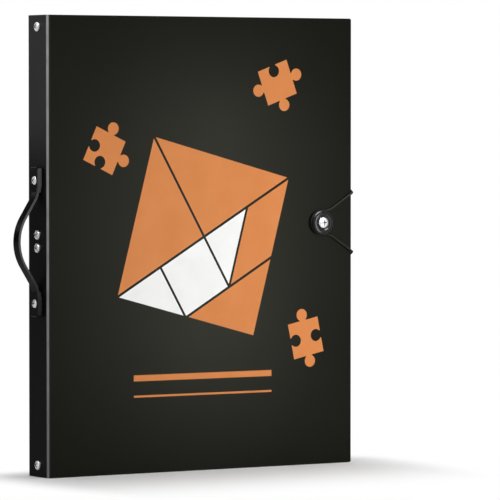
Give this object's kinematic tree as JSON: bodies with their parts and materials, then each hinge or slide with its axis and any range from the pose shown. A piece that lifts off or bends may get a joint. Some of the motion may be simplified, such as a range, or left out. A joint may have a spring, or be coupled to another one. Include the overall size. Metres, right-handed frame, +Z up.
{
  "type": "jigsaw puzzle storage case",
  "caption": "Upright screw-bound storage case: folding covers on a flat spine with a strap handle, clear-pocket leaves inside, and an elastic cord and button closure.",
  "frame": {"origin": "middle of the spine panel's bottom edge, half way through the panel's thickness, on the face the case stands on", "axes": "+Z up along the spine, +X from the spine to the fore edge, front cover facing -Y"},
  "size_m": [0.379, 0.0502, 0.45],
  "materials": {
    "cover_board": "near-black polypropylene sheet, fine matte, faint sheen",
    "rail_plastic": "white moulded plastic",
    "leaf_sheet": "white polypropylene backing sheet",
    "pocket_film": "clear glossy film",
    "handle_plastic": "black flexible plastic, soft sheen",
    "button_plastic": "black moulded plastic, semi-gloss rim",
    "zinc_steel": "bright zinc-plated steel",
    "black_metal": "black enamelled eyelet",
    "elastic_braid": "dark grey braided elastic"
  },
  "bodies": {
    "spine": {"spine_panel": "cover_board", "front_fold": "cover_board", "back_fold": "cover_board", "lower_binding_rail": "rail_plastic", "upper_binding_rail": "rail_plastic", "spine_screws": "zinc_steel", "spine_screw_nuts": "zinc_steel", "handle_screws": "zinc_steel", "handle_screw_nuts": "zinc_steel", "carry_handle": "handle_plastic"},
    "front": {"front_cover": "cover_board", "closure_button": "button_plastic", "button_neck": "button_plastic", "button_screw": "zinc_steel", "button_nut": "zinc_steel"},
    "back": {"back_cover": "cover_board", "elastic_cord": "elastic_braid", "cord_eyelets": "black_metal", "cord_end_clips": "zinc_steel"},
    "leaf_01": {"leaf_01_backing": "leaf_sheet", "leaf_01_pockets": "pocket_film"},
    "leaf_02": {"leaf_02_backing": "leaf_sheet", "leaf_02_pockets": "pocket_film"},
    "leaf_03": {"leaf_03_backing": "leaf_sheet", "leaf_03_pockets": "pocket_film"},
    "leaf_04": {"leaf_04_backing": "leaf_sheet", "leaf_04_pockets": "pocket_film"},
    "leaf_05": {"leaf_05_backing": "leaf_sheet", "leaf_05_pockets": "pocket_film"},
    "leaf_06": {"leaf_06_backing": "leaf_sheet", "leaf_06_pockets": "pocket_film"},
    "leaf_07": {"leaf_07_backing": "leaf_sheet", "leaf_07_pockets": "pocket_film"},
    "leaf_08": {"leaf_08_backing": "leaf_sheet", "leaf_08_pockets": "pocket_film"},
    "leaf_09": {"leaf_09_backing": "leaf_sheet", "leaf_09_pockets": "pocket_film"},
    "leaf_10": {"leaf_10_backing": "leaf_sheet", "leaf_10_pockets": "pocket_film"},
    "leaf_11": {"leaf_11_backing": "leaf_sheet", "leaf_11_pockets": "pocket_film"},
    "leaf_12": {"leaf_12_backing": "leaf_sheet", "leaf_12_pockets": "pocket_film"},
    "leaf_13": {"leaf_13_backing": "leaf_sheet", "leaf_13_pockets": "pocket_film"},
    "leaf_14": {"leaf_14_backing": "leaf_sheet", "leaf_14_pockets": "pocket_film"},
    "leaf_15": {"leaf_15_backing": "leaf_sheet", "leaf_15_pockets": "pocket_film"},
    "leaf_16": {"leaf_16_backing": "leaf_sheet", "leaf_16_pockets": "pocket_film"}
  },
  "joints": [
    {"name": "front_cover_hinge", "type": "hinge", "parent": "spine", "child": "front", "pos_m": [-0.00085, -0.01935, 0], "axis": [0, 0, -1], "range_deg": [0, 180], "deforming": ["front_fold", "elastic_cord"]},
    {"name": "back_cover_hinge", "type": "hinge", "parent": "spine", "child": "back", "pos_m": [-0.00085, 0.01935, 0], "axis": [0, 0, 1], "range_deg": [0, 180], "deforming": ["back_fold", "elastic_cord"]},
    {"name": "leaf_01_turn", "type": "hinge", "parent": "spine", "child": "leaf_01", "pos_m": [0.006, -0.0153, 0], "axis": [0, 0, -1], "range_deg": [0, 90]},
    {"name": "leaf_02_turn", "type": "hinge", "parent": "spine", "child": "leaf_02", "pos_m": [0.007, -0.0133, 0], "axis": [0, 0, -1], "range_deg": [0, 90]},
    {"name": "leaf_03_turn", "type": "hinge", "parent": "spine", "child": "leaf_03", "pos_m": [0.008, -0.0113, 0], "axis": [0, 0, -1], "range_deg": [0, 90]},
    {"name": "leaf_04_turn", "type": "hinge", "parent": "spine", "child": "leaf_04", "pos_m": [0.009, -0.0093, 0], "axis": [0, 0, -1], "range_deg": [0, 90]},
    {"name": "leaf_05_turn", "type": "hinge", "parent": "spine", "child": "leaf_05", "pos_m": [0.01, -0.0073, 0], "axis": [0, 0, -1], "range_deg": [0, 90]},
    {"name": "leaf_06_turn", "type": "hinge", "parent": "spine", "child": "leaf_06", "pos_m": [0.011, -0.0053, 0], "axis": [0, 0, -1], "range_deg": [0, 90]},
    {"name": "leaf_07_turn", "type": "hinge", "parent": "spine", "child": "leaf_07", "pos_m": [0.012, -0.0033, 0], "axis": [0, 0, -1], "range_deg": [0, 90]},
    {"name": "leaf_08_turn", "type": "hinge", "parent": "spine", "child": "leaf_08", "pos_m": [0.013, -0.0013, 0], "axis": [0, 0, -1], "range_deg": [0, 90]},
    {"name": "leaf_09_turn", "type": "hinge", "parent": "spine", "child": "leaf_09", "pos_m": [0.013, 0.0013, 0], "axis": [0, 0, 1], "range_deg": [0, 90]},
    {"name": "leaf_10_turn", "type": "hinge", "parent": "spine", "child": "leaf_10", "pos_m": [0.012, 0.0033, 0], "axis": [0, 0, 1], "range_deg": [0, 90]},
    {"name": "leaf_11_turn", "type": "hinge", "parent": "spine", "child": "leaf_11", "pos_m": [0.011, 0.0053, 0], "axis": [0, 0, 1], "range_deg": [0, 90]},
    {"name": "leaf_12_turn", "type": "hinge", "parent": "spine", "child": "leaf_12", "pos_m": [0.01, 0.0073, 0], "axis": [0, 0, 1], "range_deg": [0, 90]},
    {"name": "leaf_13_turn", "type": "hinge", "parent": "spine", "child": "leaf_13", "pos_m": [0.009, 0.0093, 0], "axis": [0, 0, 1], "range_deg": [0, 90]},
    {"name": "leaf_14_turn", "type": "hinge", "parent": "spine", "child": "leaf_14", "pos_m": [0.008, 0.0113, 0], "axis": [0, 0, 1], "range_deg": [0, 90]},
    {"name": "leaf_15_turn", "type": "hinge", "parent": "spine", "child": "leaf_15", "pos_m": [0.007, 0.0133, 0], "axis": [0, 0, 1], "range_deg": [0, 90]},
    {"name": "leaf_16_turn", "type": "hinge", "parent": "spine", "child": "leaf_16", "pos_m": [0.006, 0.0153, 0], "axis": [0, 0, 1], "range_deg": [0, 90]}
  ],
  "couplings": [
    {"joint": "leaf_01_turn", "follows": "front_cover_hinge", "ratio": 0.5},
    {"joint": "leaf_02_turn", "follows": "front_cover_hinge", "ratio": 0.49167},
    {"joint": "leaf_03_turn", "follows": "front_cover_hinge", "ratio": 0.48333},
    {"joint": "leaf_04_turn", "follows": "front_cover_hinge", "ratio": 0.475},
    {"joint": "leaf_05_turn", "follows": "front_cover_hinge", "ratio": 0.46667},
    {"joint": "leaf_06_turn", "follows": "front_cover_hinge", "ratio": 0.45833},
    {"joint": "leaf_07_turn", "follows": "front_cover_hinge", "ratio": 0.45},
    {"joint": "leaf_08_turn", "follows": "front_cover_hinge", "ratio": 0.44167},
    {"joint": "leaf_09_turn", "follows": "back_cover_hinge", "ratio": 0.44167},
    {"joint": "leaf_10_turn", "follows": "back_cover_hinge", "ratio": 0.45},
    {"joint": "leaf_11_turn", "follows": "back_cover_hinge", "ratio": 0.45833},
    {"joint": "leaf_12_turn", "follows": "back_cover_hinge", "ratio": 0.46667},
    {"joint": "leaf_13_turn", "follows": "back_cover_hinge", "ratio": 0.475},
    {"joint": "leaf_14_turn", "follows": "back_cover_hinge", "ratio": 0.48333},
    {"joint": "leaf_15_turn", "follows": "back_cover_hinge", "ratio": 0.49167},
    {"joint": "leaf_16_turn", "follows": "back_cover_hinge", "ratio": 0.5}
  ]
}
